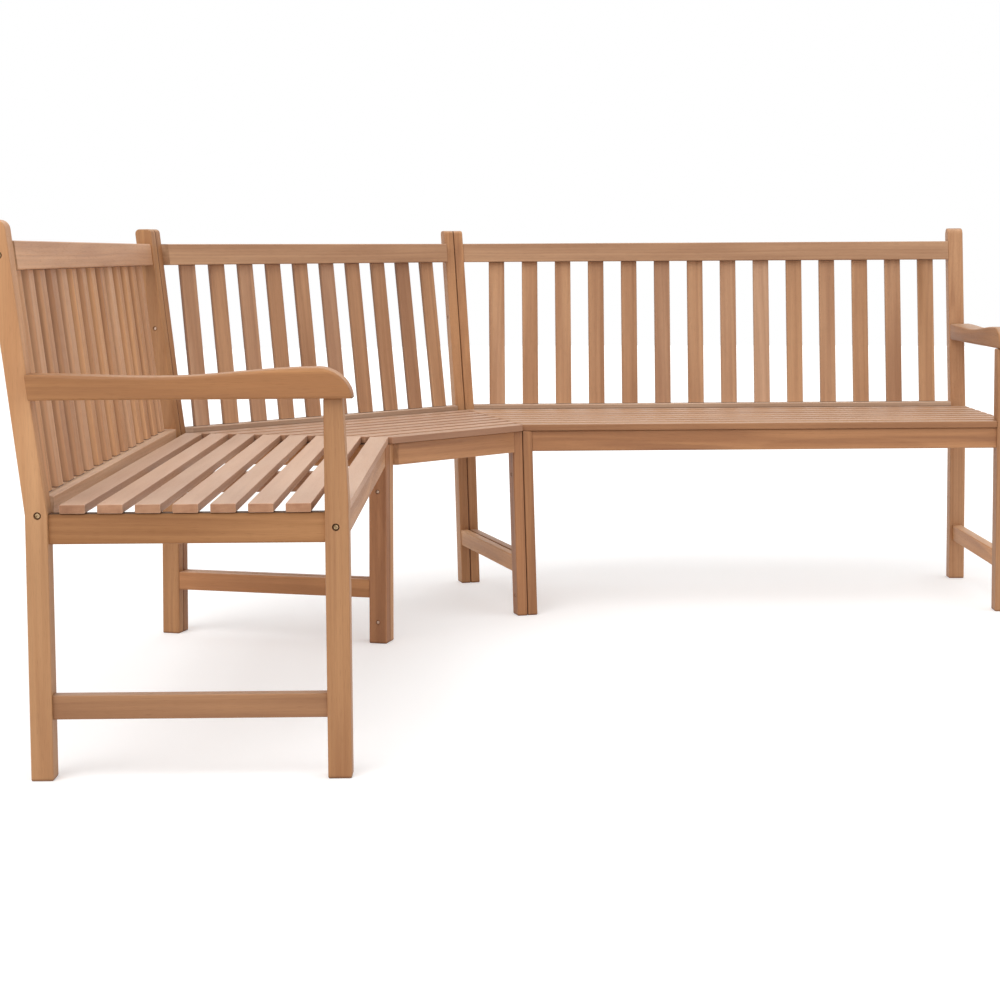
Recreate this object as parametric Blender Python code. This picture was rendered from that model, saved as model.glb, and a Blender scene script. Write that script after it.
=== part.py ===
# Teak corner bench: a left wing, a corner section and a right wing, bolted side to side.
# Metres, +Z up. The origin is on the floor, in the middle of the square that the bench fills.
# The right wing's back runs along +Y, the left wing's along -X, and the seats face the open corner.
# Each section has coordinates of its own: x along it, y towards its back, z up.

import bmesh
import bpy
from collections import namedtuple
from math import cos, pi, radians, sin, tan
from mathutils import Vector

# Overall layout
BENCH_SPAN = 2.020
BENCH_HEIGHT = 0.900
CORNER_BACK = 0.9425
WING_MITRE = radians(16.5)
FRAME_DEPTH = 0.515
ARM_OVERHANG = 0.016

# Clearances: between touching pieces, and between the slats of neighbouring sections
JOINT_GAP = 0.0003
SLAT_JOINT_GAP = 0.0008

# Legs and posts of the two end frames, and of the thinner frames that meet at each mitre
END_LEG_THICKNESS = 0.0385
END_LEG_DEPTH = 0.0385
END_LEG_TAPER = 0.008
END_POST_DEPTH = 0.036
END_POST_TOP_DEPTH = 0.0345
END_POST_TOP_RADIUS = 0.016
MITRE_LEG_THICKNESS = 0.024
MITRE_LEG_DEPTH = 0.040
MITRE_POST_TOP_DEPTH = 0.0385
MITRE_POST_TOP_RADIUS = 0.0095

# How far the frames at a mitre tilt towards the corner's middle, for each metre of height
MITRE_TILT = 0.0248

# Lean of the back, from the posts' knee just below the seat, and the length of their slimming above it
BACK_LEAN = radians(6.7)
KNEE_BELOW_SEAT = 0.017
SLIMMING_LENGTH = 0.100

# Rails across each frame, and its low stretcher
SIDE_RAIL_HEIGHT = 0.049
STRETCHER_LOW = 0.0988
STRETCHER_HEIGHT = 0.0395
END_RAIL_THICKNESS = 0.024
END_RAIL_RECESS = 0.007
MITRE_RAIL_THICKNESS = 0.020
MITRE_RAIL_RECESS = 0.002

# Seat
SEAT_HEIGHT = 0.447
SEAT_SLATS = 8
SEAT_SLAT_WIDTH = 0.041
SEAT_SLAT_THICKNESS = 0.015
SEAT_BACK_SPACE = 0.054
SEAT_SLAT_SETBACK = 0.004
FRONT_RAIL_HEIGHT = 0.0477
FRONT_RAIL_THICKNESS = 0.030
FRONT_RAIL_RECESS = 0.006
BEARER_WIDTH = 0.024
BEARER_HEIGHT = 0.0377

# Back panels
POST_HEAD = 0.033
TOP_RAIL_HEIGHT = 0.047
TOP_RAIL_THICKNESS = 0.030
TOP_RAIL_FRONT = 0.0365
LOW_RAIL_RISE = 0.010
LOW_RAIL_HEIGHT = 0.055
LOW_RAIL_THICKNESS = 0.036
LOW_RAIL_FRONT = 0.038
BACK_SLAT_WIDTH = 0.040
BACK_SLAT_THICKNESS = 0.012
BACK_SLAT_INSET = 0.0165
BACK_SLAT_HOUSING = 0.014
WING_BACK_SLATS = 14
WING_OUTER_SPACE = 0.0367
WING_INNER_SPACE = 0.0467
CORNER_BACK_SLATS = 10
CORNER_END_SPACE = 0.0348

# Arms: how far the underside is above the seat, and how thick an arm is at its rear, dip and crest
ARM_ABOVE_SEAT = 0.1675
ARM_WIDTH = 0.053
ARM_REAR_THICKNESS = 0.041
ARM_DIP_THICKNESS = 0.036
ARM_CREST_THICKNESS = 0.0495
ARM_DIP_FROM_REAR = 0.210
ARM_NOSE_LENGTH = 0.054
ARM_NOSE_OVERHANG = 0.0165
ARM_NOSE_POWER = 1.85

# Bolt holes
END_HOLE_RADIUS = 0.0062
MITRE_HOLE_RADIUS = 0.0048
HOLE_DEPTH = 0.006
LEG_HOLE_HEIGHT = 0.046
LEG_HOLE_BELOW_SEAT = 0.117
POST_HOLE_BELOW_TOP = 0.220

# Eased edges
EDGE_RADIUS = 0.0025
ARM_EDGE_RADIUS = 0.005
SLAT_EDGE_RADIUS = 0.002
EDGE_STEPS = 2
ARM_EDGE_STEPS = 3
ARC_STEPS = 5
ARM_TOP_STEPS = 14
ARM_NOSE_STEPS = 9
HOLE_SIDES = 16
SHARP_ANGLE = radians(35)

# Teak colours, linear
LEG_COLOUR = (0.50, 0.275, 0.130)
RAIL_COLOUR = (0.46, 0.250, 0.130)
SEAT_COLOUR = (0.56, 0.330, 0.190)
BACK_COLOUR = (0.45, 0.240, 0.120)
ARM_COLOUR = (0.52, 0.270, 0.115)
TEAK_ROUGHNESS = 0.55

# Worked out from the sizes above
CORNER_MITRE = pi / 4 - WING_MITRE
MITRE_DEPTH = FRAME_DEPTH / cos(WING_MITRE)
BACK_SLOPE = tan(BACK_LEAN)
KNEE_HEIGHT = SEAT_HEIGHT - KNEE_BELOW_SEAT
MITRE_SLOPE = (BACK_SLOPE + MITRE_TILT * sin(WING_MITRE)) / cos(WING_MITRE)
CORNER_SLOPE = MITRE_SLOPE * cos(CORNER_MITRE) + MITRE_TILT * sin(CORNER_MITRE)
MITRE_POST_REAR = -MITRE_LEG_THICKNESS * tan(WING_MITRE)
POST_REACH = BACK_SLOPE * (BENCH_HEIGHT - END_POST_TOP_RADIUS * (1 + sin(BACK_LEAN)) - KNEE_HEIGHT)
REAR_LINE = BENCH_SPAN / 2 - POST_REACH
OUTER_LINE = BENCH_SPAN / 2 - ARM_OVERHANG
CORNER_REACH = CORNER_BACK * cos(pi / 4)
WING_BACK = OUTER_LINE + REAR_LINE - CORNER_REACH
SLAT_LOW = SEAT_HEIGHT - SEAT_SLAT_THICKNESS
SEAT_FRAME_TOP = SLAT_LOW - JOINT_GAP
FRONT_RAIL_LOW = SEAT_FRAME_TOP - FRONT_RAIL_HEIGHT
SEAT_DEPTH = FRAME_DEPTH - SEAT_BACK_SPACE
TOP_RAIL_TOP = BENCH_HEIGHT - POST_HEAD
TOP_RAIL_LOW = TOP_RAIL_TOP - TOP_RAIL_HEIGHT
LOW_RAIL_TOP = SEAT_HEIGHT + LOW_RAIL_RISE
LOW_RAIL_LOW = LOW_RAIL_TOP - LOW_RAIL_HEIGHT
ARM_LOW = SEAT_HEIGHT + ARM_ABOVE_SEAT
ARM_REAR_TOP = ARM_LOW + ARM_REAR_THICKNESS
LEG_HOLE_HEIGHTS = (LEG_HOLE_HEIGHT, SEAT_HEIGHT - LEG_HOLE_BELOW_SEAT)
POST_HOLE_HEIGHT = BENCH_HEIGHT - POST_HOLE_BELOW_TOP

# A section's rear edge starts at `start`, runs `length` along `heading`, and its two ends are
# turned from square by the angles `lowMitre` and `highMitre`. The spaces are those between the
# posts and the first and last back slats.
Section = namedtuple("Section", "name start heading length lowMitre highMitre"
                     " backSlats lowSpace highSpace ends")

SECTIONS = (
    Section("left", (-REAR_LINE, -OUTER_LINE), pi / 2, WING_BACK, 0, WING_MITRE,
            WING_BACK_SLATS, WING_OUTER_SPACE, WING_INNER_SPACE, ("outer", "inner")),
    Section("corner", (-REAR_LINE, REAR_LINE - CORNER_REACH), pi / 4, CORNER_BACK,
            CORNER_MITRE, CORNER_MITRE, CORNER_BACK_SLATS, CORNER_END_SPACE, CORNER_END_SPACE,
            ("left", "right")),
    Section("right", (CORNER_REACH - REAR_LINE, REAR_LINE), 0, WING_BACK, WING_MITRE, 0,
            WING_BACK_SLATS, WING_INNER_SPACE, WING_OUTER_SPACE, ("inner", "outer")),
)


def squash(section):
    # How much shorter the section is from front to back than along its mitre
    return cos(max(section.lowMitre, section.highMitre))


def sectionDepth(section):
    return MITRE_DEPTH * squash(section)


def isCorner(section):
    return section.lowMitre > 0 and section.highMitre > 0


def endTilt(section, mitre):
    # How fast a section's mitred end draws in with height; the wings' grow longer instead
    if not mitre:
        return 0
    return MITRE_TILT if isCorner(section) else -MITRE_TILT


def lowEnd(section, inset):
    # The x of the section's low end at any y and z, cut back by `inset` square to the end's plane
    mitre = section.lowMitre
    return lambda y, z: (inset + endTilt(section, mitre) * z) / cos(mitre) - y * tan(mitre)


def highEnd(section, inset):
    mitre = section.highMitre
    return lambda y, z: section.length + y * tan(mitre) - (inset + endTilt(section, mitre) * z) / cos(mitre)


def legThickness(mitre):
    return MITRE_LEG_THICKNESS if mitre else END_LEG_THICKNESS


def leanAt(z, slope):
    # How far the back's rear face lies behind the rear edge at height z
    return slope * (z - KNEE_HEIGHT)


def arc(before, corner, after, radius):
    # Points of the arc that rounds a corner between its two neighbours
    corner = Vector(corner)
    toBefore = (Vector(before) - corner).normalized()
    toAfter = (Vector(after) - corner).normalized()
    halfAngle = toBefore.angle(toAfter) / 2
    centre = corner + (toBefore + toAfter).normalized() * radius / sin(halfAngle)
    start = (corner + toBefore * radius / tan(halfAngle) - centre).normalized()
    end = (corner + toAfter * radius / tan(halfAngle) - centre).normalized()
    return [tuple(centre + start.slerp(end, step / ARC_STEPS) * radius) for step in range(ARC_STEPS + 1)]


def bar(bm, outline, low, high):
    # Extrudes a (y, z) outline along x between two ends, each a number or a function of y and z
    def endAt(end, y, z):
        return end(y, z) if callable(end) else end

    face = bm.faces.new([bm.verts.new((endAt(low, y, z), y, z)) for y, z in outline])
    grown = bmesh.ops.extrude_face_region(bm, geom=[face])["geom"]
    for vert in grown:
        if isinstance(vert, bmesh.types.BMVert):
            vert.co.x = endAt(high, vert.co.y, vert.co.z)
    bmesh.ops.recalc_face_normals(bm, faces=bm.faces)


def rectangle(front, rear, low, high):
    return [(front, low), (rear, low), (rear, high), (front, high)]


def block(bm, low, high):
    # A box between two opposite corners
    size = Vector(high) - Vector(low)
    verts = bmesh.ops.create_cube(bm, size=1)["verts"]
    bmesh.ops.scale(bm, verts=verts, vec=size)
    bmesh.ops.translate(bm, verts=verts, vec=Vector(low) + size / 2)


def along(edge, axis):
    return abs((edge.verts[0].co - edge.verts[1].co).normalized()[axis]) > cos(SHARP_ANGLE)


def ease(bm, radius, edges=None, steps=EDGE_STEPS):
    # Rounds the given edges, or every sharp one
    if edges is None:
        edges = [edge for edge in bm.edges if edge.calc_face_angle() > SHARP_ANGLE]
    bmesh.ops.bevel(bm, geom=edges, offset=radius, offset_type="OFFSET", segments=steps,
                    profile=0.5, affect="EDGES", material=-1, clamp_overlap=True)


def teak(name, colour):
    material = bpy.data.materials.new(name)
    material.use_nodes = True
    shader = material.node_tree.nodes["Principled BSDF"]
    shader.inputs["Base Color"].default_value = (*colour, 1)
    shader.inputs["Roughness"].default_value = TEAK_ROUGHNESS
    shader.inputs["Metallic"].default_value = 0
    return material


def makeEmpty(name, location, heading, parent=None):
    empty = bpy.data.objects.new(name, None)
    empty.location = (*location, 0)
    empty.rotation_euler = (0, 0, heading)
    empty.parent = parent
    bpy.context.scene.collection.objects.link(empty)
    return empty


def addPiece(bm, name, parent, colour):
    mesh = bpy.data.meshes.new(name)
    bm.to_mesh(mesh)
    bm.free()
    mesh.shade_smooth()
    mesh.set_sharp_from_angle(angle=SHARP_ANGLE)
    mesh.materials.append(teak(name, colour))
    piece = bpy.data.objects.new(name, mesh)
    piece.parent = parent
    bpy.context.scene.collection.objects.link(piece)
    return piece


def addBoolean(piece, helper, operation):
    helper.hide_render = True
    helper.display_type = "WIRE"
    modifier = piece.modifiers.new(helper.name, "BOOLEAN")
    modifier.operation = operation
    modifier.solver = "EXACT"
    modifier.object = helper


def slant(bm, tilt):
    for vert in bm.verts:
        vert.co.x += tilt * vert.co.z


def drill(piece, parent, holes, radius):
    # Bolt holes along x, each given by the face it starts from, the way in, and its (y, z)
    bm = bmesh.new()
    for face, way, y, z in holes:
        rim = bmesh.ops.create_circle(bm, cap_ends=True, segments=HOLE_SIDES, radius=radius)["verts"]
        for vert in rim:
            vert.co = (face - way * HOLE_DEPTH, y + vert.co.x, z + vert.co.y)
        grown = bmesh.ops.extrude_face_region(bm, geom=list(rim[0].link_faces))["geom"]
        tip = [vert for vert in grown if isinstance(vert, bmesh.types.BMVert)]
        bmesh.ops.translate(bm, verts=tip, vec=(2 * way * HOLE_DEPTH, 0, 0))
    bmesh.ops.recalc_face_normals(bm, faces=bm.faces)
    addBoolean(piece, addPiece(bm, piece.name + "_holes", parent, LEG_COLOUR), "DIFFERENCE")


def postOutline(rear, lowDepth, topDepth, slope, topRadius):
    slimHeight = KNEE_HEIGHT + SLIMMING_LENGTH
    slim = (rear + leanAt(slimHeight, slope) - topDepth, slimHeight)
    topRear = (rear + leanAt(BENCH_HEIGHT, slope), BENCH_HEIGHT)
    topFront = (topRear[0] - topDepth, BENCH_HEIGHT)
    knee = (rear, KNEE_HEIGHT)
    return [(rear, 0), (rear - lowDepth, 0), (rear - lowDepth, KNEE_HEIGHT), slim,
            *arc(slim, topFront, topRear, topRadius), *arc(topFront, topRear, knee, topRadius), knee]


def makePost(name, parent, side, mitre, tilt):
    bm = bmesh.new()
    thickness = legThickness(mitre)
    if mitre:
        outline = postOutline(MITRE_POST_REAR, MITRE_LEG_DEPTH, MITRE_POST_TOP_DEPTH, MITRE_SLOPE,
                              MITRE_POST_TOP_RADIUS)
    else:
        outline = postOutline(0, END_POST_DEPTH, END_POST_TOP_DEPTH, BACK_SLOPE, END_POST_TOP_RADIUS)
    bar(bm, outline, side * JOINT_GAP / 2 if mitre else 0, side * thickness)
    ease(bm, EDGE_RADIUS)
    slant(bm, tilt)
    post = addPiece(bm, name, parent, LEG_COLOUR)
    if mitre:
        middle = MITRE_POST_REAR + leanAt(POST_HOLE_HEIGHT, MITRE_SLOPE) - MITRE_POST_TOP_DEPTH / 2
        face = side * thickness + tilt * POST_HOLE_HEIGHT
        drill(post, parent, [(face, -side, middle, POST_HOLE_HEIGHT)], MITRE_HOLE_RADIUS)
    else:
        railMiddle = (TOP_RAIL_LOW + TOP_RAIL_TOP) / 2
        topMiddle = leanAt(railMiddle, BACK_SLOPE) - END_POST_TOP_DEPTH / 2
        lowMiddle = LOW_RAIL_THICKNESS / 2 - LOW_RAIL_FRONT
        holes = [(0, side, topMiddle, railMiddle), (0, side, lowMiddle, (LOW_RAIL_LOW + LOW_RAIL_TOP) / 2)]
        drill(post, parent, holes, END_HOLE_RADIUS)


def makeFrontLeg(name, parent, side, mitre, tilt):
    bm = bmesh.new()
    thickness = legThickness(mitre)
    depth = MITRE_DEPTH if mitre else FRAME_DEPTH
    rear = (MITRE_LEG_DEPTH if mitre else END_LEG_DEPTH) - depth
    if mitre:
        top = SEAT_FRAME_TOP
        outline = [(rear, 0), (-depth, 0), (-depth, top), (rear, top)]
    else:
        top = ARM_LOW - JOINT_GAP
        outline = [(rear, 0), (-depth, 0), (-depth, SEAT_HEIGHT), (END_LEG_TAPER - depth, top), (rear, top)]
    bar(bm, outline, side * JOINT_GAP / 2 if mitre else 0, side * thickness)
    ease(bm, EDGE_RADIUS)
    slant(bm, tilt)
    leg = addPiece(bm, name, parent, LEG_COLOUR)
    if mitre:
        middle = MITRE_LEG_DEPTH / 2 - depth
        holes = [(side * thickness + tilt * height, -side, middle, height) for height in LEG_HOLE_HEIGHTS]
        drill(leg, parent, holes, MITRE_HOLE_RADIUS)
    else:
        railMiddle = FRONT_RAIL_RECESS + FRONT_RAIL_THICKNESS / 2 - depth
        drill(leg, parent, [(0, side, railMiddle, (FRONT_RAIL_LOW + SEAT_FRAME_TOP) / 2)], END_HOLE_RADIUS)


def makeCrossRail(name, parent, side, mitre, tilt, low, height):
    # A rail from the rear post's front face to the front leg's rear face
    bm = bmesh.new()
    if mitre:
        rear = MITRE_POST_REAR - MITRE_LEG_DEPTH - JOINT_GAP
        front = MITRE_LEG_DEPTH - MITRE_DEPTH + JOINT_GAP
        recess, thickness = MITRE_RAIL_RECESS, MITRE_RAIL_THICKNESS
    else:
        rear = -END_POST_DEPTH - JOINT_GAP
        front = END_LEG_DEPTH - FRAME_DEPTH + JOINT_GAP
        recess, thickness = END_RAIL_RECESS, END_RAIL_THICKNESS
    inner, outer = sorted((side * recess, side * (recess + thickness)))
    block(bm, (inner, front, low), (outer, rear, low + height))
    ease(bm, EDGE_RADIUS, [edge for edge in bm.edges if along(edge, 1)])
    slant(bm, tilt)
    addPiece(bm, name, parent, RAIL_COLOUR)


def armTop(distance, length):
    # Height of the arm's top at a distance from its rear end, before the nose
    if distance < ARM_DIP_FROM_REAR:
        start, end, share = ARM_REAR_THICKNESS, ARM_DIP_THICKNESS, distance / ARM_DIP_FROM_REAR
    else:
        start, end = ARM_DIP_THICKNESS, ARM_CREST_THICKNESS
        share = (distance - ARM_DIP_FROM_REAR) / (length - ARM_DIP_FROM_REAR)
    return ARM_LOW + start + (end - start) * (1 - cos(pi * share)) / 2


def makeArm(name, parent, side):
    # The rear end lies against the leaning post, and the nose droops past the front leg
    postFront = -END_POST_TOP_DEPTH - JOINT_GAP
    rearLow = postFront + leanAt(ARM_LOW, BACK_SLOPE)
    rearTop = postFront + leanAt(ARM_REAR_TOP, BACK_SLOPE)
    tip = END_LEG_TAPER - FRAME_DEPTH - ARM_NOSE_OVERHANG
    crest = tip + ARM_NOSE_LENGTH
    run = rearTop - crest
    outline = [(tip, ARM_LOW), (rearLow, ARM_LOW)]
    for step in range(ARM_TOP_STEPS):
        distance = run * step / ARM_TOP_STEPS
        outline.append((rearTop - distance, armTop(distance, run)))
    for step in range(ARM_NOSE_STEPS):
        turn = pi / 2 * step / ARM_NOSE_STEPS
        reach = sin(turn) ** (2 / ARM_NOSE_POWER)
        rise = cos(turn) ** (2 / ARM_NOSE_POWER)
        outline.append((crest - ARM_NOSE_LENGTH * reach, ARM_LOW + ARM_CREST_THICKNESS * rise))
    bm = bmesh.new()
    bar(bm, outline, -side * ARM_OVERHANG, side * (ARM_WIDTH - ARM_OVERHANG))
    rims = [edge for edge in bm.edges if not along(edge, 0) and edge.calc_face_angle() > SHARP_ANGLE
            and min(vert.co.y for vert in edge.verts) < rearLow - EDGE_RADIUS]
    ease(bm, ARM_EDGE_RADIUS, rims, ARM_EDGE_STEPS)
    addPiece(bm, name, parent, ARM_COLOUR)


def makeFrontRail(section, parent):
    depth = sectionDepth(section)
    front = FRONT_RAIL_RECESS - depth
    rear = front + FRONT_RAIL_THICKNESS
    bm = bmesh.new()
    bar(bm, rectangle(front, rear, FRONT_RAIL_LOW, SEAT_FRAME_TOP),
        lowEnd(section, legThickness(section.lowMitre) + JOINT_GAP),
        highEnd(section, legThickness(section.highMitre) + JOINT_GAP))
    ease(bm, EDGE_RADIUS, [edge for edge in bm.edges if along(edge, 0)])
    addPiece(bm, section.name + "_front_rail", parent, RAIL_COLOUR)


def makeBearer(section, parent):
    # Carries the slats half way along, from the lower back rail to the front rail
    rear = -LOW_RAIL_FRONT - JOINT_GAP
    front = FRONT_RAIL_RECESS + FRONT_RAIL_THICKNESS + JOINT_GAP - sectionDepth(section)
    halfway = (rear + front) / 2
    middle = (lowEnd(section, 0)(halfway, SEAT_FRAME_TOP) + highEnd(section, 0)(halfway, SEAT_FRAME_TOP)) / 2
    bm = bmesh.new()
    block(bm, (middle - BEARER_WIDTH / 2, front, SEAT_FRAME_TOP - BEARER_HEIGHT),
          (middle + BEARER_WIDTH / 2, rear, SEAT_FRAME_TOP))
    ease(bm, EDGE_RADIUS, [edge for edge in bm.edges if along(edge, 1)])
    addPiece(bm, section.name + "_seat_bearer", parent, RAIL_COLOUR)


def slatInset(mitre, number):
    # The first slat stops at the end frame's front leg; the others run out over its side rail
    if mitre:
        return SLAT_JOINT_GAP
    return END_LEG_THICKNESS + JOINT_GAP if number == 0 else SEAT_SLAT_SETBACK


def makeSeatSlats(section, parent):
    # Slats are as deep along the mitre in every section, so that they line up across it
    scale = squash(section) / cos(WING_MITRE)
    pitch = (SEAT_DEPTH - SEAT_SLAT_WIDTH) / (SEAT_SLATS - 1)
    for number in range(SEAT_SLATS):
        front = number * pitch * scale - sectionDepth(section)
        rear = front + SEAT_SLAT_WIDTH * scale
        bm = bmesh.new()
        bar(bm, rectangle(front, rear, SLAT_LOW, SEAT_HEIGHT),
            lowEnd(section, slatInset(section.lowMitre, number)),
            highEnd(section, slatInset(section.highMitre, number)))
        ease(bm, SLAT_EDGE_RADIUS)
        addPiece(bm, f"{section.name}_seat_slat_{number + 1}", parent, SEAT_COLOUR)


def makeBackPanel(section, parent):
    # Two rails joined by upright slats, glued up as one panel between the section's two posts
    slope = CORNER_SLOPE if isCorner(section) else BACK_SLOPE
    low = lowEnd(section, legThickness(section.lowMitre) + JOINT_GAP)
    high = highEnd(section, legThickness(section.highMitre) + JOINT_GAP)

    bm = bmesh.new()
    topFront, topRear = -TOP_RAIL_FRONT, TOP_RAIL_THICKNESS - TOP_RAIL_FRONT
    corners = rectangle(topFront, topRear, TOP_RAIL_LOW, TOP_RAIL_TOP)
    bar(bm, [(y + leanAt(z, slope), z) for y, z in corners], low, high)
    ease(bm, EDGE_RADIUS, [edge for edge in bm.edges if along(edge, 0)])
    panel = addPiece(bm, section.name + "_back_panel", parent, BACK_COLOUR)

    bm = bmesh.new()
    front, rear = -LOW_RAIL_FRONT, LOW_RAIL_THICKNESS - LOW_RAIL_FRONT
    bar(bm, rectangle(front, rear, LOW_RAIL_LOW, LOW_RAIL_TOP), low, high)
    ease(bm, EDGE_RADIUS, [edge for edge in bm.edges if along(edge, 0)])
    lowRail = addPiece(bm, section.name + "_low_back_rail", parent, BACK_COLOUR)

    bm = bmesh.new()
    slatY = leanAt(LOW_RAIL_TOP, slope) - BACK_SLAT_INSET
    bottom = LOW_RAIL_TOP - BACK_SLAT_HOUSING
    top = TOP_RAIL_LOW + BACK_SLAT_HOUSING
    first = low(slatY, LOW_RAIL_TOP) + section.lowSpace + BACK_SLAT_WIDTH / 2
    last = high(slatY, LOW_RAIL_TOP) - section.highSpace - BACK_SLAT_WIDTH / 2
    for number in range(section.backSlats):
        middle = first + (last - first) * number / (section.backSlats - 1)
        block(bm, (middle - BACK_SLAT_WIDTH / 2, -BACK_SLAT_THICKNESS / 2, bottom),
              (middle + BACK_SLAT_WIDTH / 2, BACK_SLAT_THICKNESS / 2, top))
    ease(bm, SLAT_EDGE_RADIUS, [edge for edge in bm.edges if along(edge, 2)])
    for vert in bm.verts:
        vert.co.y += leanAt(vert.co.z, slope) - BACK_SLAT_INSET
    slats = addPiece(bm, section.name + "_back_slats", parent, BACK_COLOUR)

    addBoolean(panel, slats, "UNION")
    addBoolean(panel, lowRail, "UNION")


def makeFrame(section, parent, endName, side, mitre):
    # The legs and rails at one end of a section, which lies on the frame's +x side if side is 1
    x = 0 if side > 0 else section.length
    name = f"{section.name}_{endName}"
    frame = makeEmpty(name + "_frame", (x, 0), side * mitre, parent)
    tilt = side * endTilt(section, mitre)
    makePost(name + "_rear_post", frame, side, mitre, tilt)
    makeFrontLeg(name + "_front_leg", frame, side, mitre, tilt)
    sideRailLow = SEAT_FRAME_TOP - SIDE_RAIL_HEIGHT
    makeCrossRail(name + "_side_rail", frame, side, mitre, tilt, sideRailLow, SIDE_RAIL_HEIGHT)
    makeCrossRail(name + "_stretcher", frame, side, mitre, tilt, STRETCHER_LOW, STRETCHER_HEIGHT)
    if not mitre:
        makeArm(name + "_arm", frame, side)


def makeSection(section):
    parent = makeEmpty(section.name + "_section", section.start, section.heading)
    makeFrame(section, parent, section.ends[0], 1, section.lowMitre)
    makeFrame(section, parent, section.ends[1], -1, section.highMitre)
    makeFrontRail(section, parent)
    makeBearer(section, parent)
    makeSeatSlats(section, parent)
    makeBackPanel(section, parent)


for old in list(bpy.data.objects):
    bpy.data.objects.remove(old, do_unlink=True)
for section in SECTIONS:
    makeSection(section)
bpy.context.view_layer.update()
print("Bench pieces:", sum(1 for piece in bpy.data.objects if piece.type == "MESH" and not piece.hide_render))
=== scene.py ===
from math import cos, pi, radians, sin

import bmesh
import bpy
from mathutils import Matrix, Vector


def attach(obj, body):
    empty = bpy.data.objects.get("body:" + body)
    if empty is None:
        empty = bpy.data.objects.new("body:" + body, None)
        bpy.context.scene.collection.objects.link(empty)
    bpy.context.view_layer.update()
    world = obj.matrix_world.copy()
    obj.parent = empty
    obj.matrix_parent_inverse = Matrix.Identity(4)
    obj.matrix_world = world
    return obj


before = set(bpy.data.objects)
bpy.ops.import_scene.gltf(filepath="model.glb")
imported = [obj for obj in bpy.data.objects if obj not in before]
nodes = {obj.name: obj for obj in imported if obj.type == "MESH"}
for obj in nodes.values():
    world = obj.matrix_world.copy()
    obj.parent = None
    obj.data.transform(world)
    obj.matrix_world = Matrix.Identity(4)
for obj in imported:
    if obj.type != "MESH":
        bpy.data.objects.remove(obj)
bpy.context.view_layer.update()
print("frame loaded:", len(nodes), "pieces")


def addObject(name, data):
    added = bpy.data.objects.new(name, data)
    bpy.context.scene.collection.objects.link(added)
    return added


def meshFrom(name, bm):
    mesh = bpy.data.meshes.new(name)
    bm.to_mesh(mesh)
    bm.free()
    return mesh


viewpoint = {
    "place": (-0.19952, -4.15264, 0.84215),
    "yaw": 0.01607,
    "pitch": -0.07705,
    "roll": -0.00560,
    "focalPixels": 1992.9,
    "pictureSize": 1000,
    "centre": (532.0, 407.01),
    "sensorWidth": 36,
}


def makeCamera():
    size = viewpoint["pictureSize"]
    data = bpy.data.cameras.new("camera")
    data.sensor_width = viewpoint["sensorWidth"]
    data.lens = data.sensor_width * viewpoint["focalPixels"] / size
    data.shift_x = (size / 2 - viewpoint["centre"][0]) / size
    data.shift_y = (viewpoint["centre"][1] - size / 2) / size
    yaw = Matrix.Rotation(-viewpoint["yaw"], 4, "Z")
    turn = yaw @ Matrix.Rotation(pi / 2 + viewpoint["pitch"], 4, "X")
    roll = Matrix.Rotation(viewpoint["roll"], 4, "Z")
    camera = addObject("camera", data)
    camera.matrix_world = Matrix.Translation(viewpoint["place"]) @ turn @ roll
    bpy.context.scene.camera = camera


# Each lamp is a wide soft sun: where it shines from, its strength and how wide it is in degrees
lamps = {
    "key": {"from": (-0.45, -0.80, 0.95), "strength": 1.45, "width": 50},
    "fill": {"from": (0.90, -0.55, 0.60), "strength": 0.55, "width": 80},
    "overhead": {"from": (0.05, 0.10, 1.00), "strength": 0.55, "width": 90},
    "rear": {"from": (0.30, 0.95, 0.55), "strength": 0.50, "width": 80},
}


def makeLamps():
    for name, lamp in lamps.items():
        data = bpy.data.lights.new(name, "SUN")
        data.energy = lamp["strength"]
        data.angle = radians(lamp["width"])
        light = addObject(name, data)
        light.rotation_euler = Vector(lamp["from"]).to_track_quat("Z", "Y").to_euler()


def put(tree, kind, inputs=None, **settings):
    # A node with its settings, and its inputs given as values or as sockets to link from
    node = tree.nodes.new(kind)
    for key, value in settings.items():
        setattr(node, key, value)
    for key, value in (inputs or {}).items():
        if isinstance(value, bpy.types.NodeSocket):
            tree.links.new(value, node.inputs[key])
        else:
            node.inputs[key].default_value = value
    return node


def reckon(tree, operation, *values, clamp=False):
    node = put(tree, "ShaderNodeMath", dict(enumerate(values)), operation=operation, use_clamp=clamp)
    return node.outputs[0]


def product(tree, values):
    total = values[0]
    for value in values[1:]:
        total = reckon(tree, "MULTIPLY", total, value)
    return total


def vectors(tree, operation, *values):
    node = put(tree, "ShaderNodeVectorMath", dict(enumerate(values)), operation=operation)
    return node.outputs["Value" if operation in ("LENGTH", "DOT_PRODUCT") else "Vector"]


def split(tree, vector):
    return put(tree, "ShaderNodeSeparateXYZ", {0: vector}).outputs


def joined(tree, x, y, z):
    return put(tree, "ShaderNodeCombineXYZ", {0: x, 1: y, 2: z}).outputs[0]


def mixed(tree, share, first, second):
    return put(tree, "ShaderNodeMix", {0: share, 2: first, 3: second}).outputs[0]


def mixedVectors(tree, share, first, second):
    return put(tree, "ShaderNodeMix", {0: share, 4: first, 5: second}, data_type="VECTOR").outputs[1]


def blended(tree, share, first, second, kind="MIX"):
    node = put(tree, "ShaderNodeMix", {0: share, 6: first, 7: second}, data_type="RGBA", blend_type=kind)
    return node.outputs[2]


def eased(tree, value, low, high, start=0.0, end=1.0):
    node = put(tree, "ShaderNodeMapRange", {
        "Value": value, "From Min": low, "From Max": high, "To Min": start, "To Max": end,
    }, interpolation_type="SMOOTHSTEP")
    return node.outputs["Result"]


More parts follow.
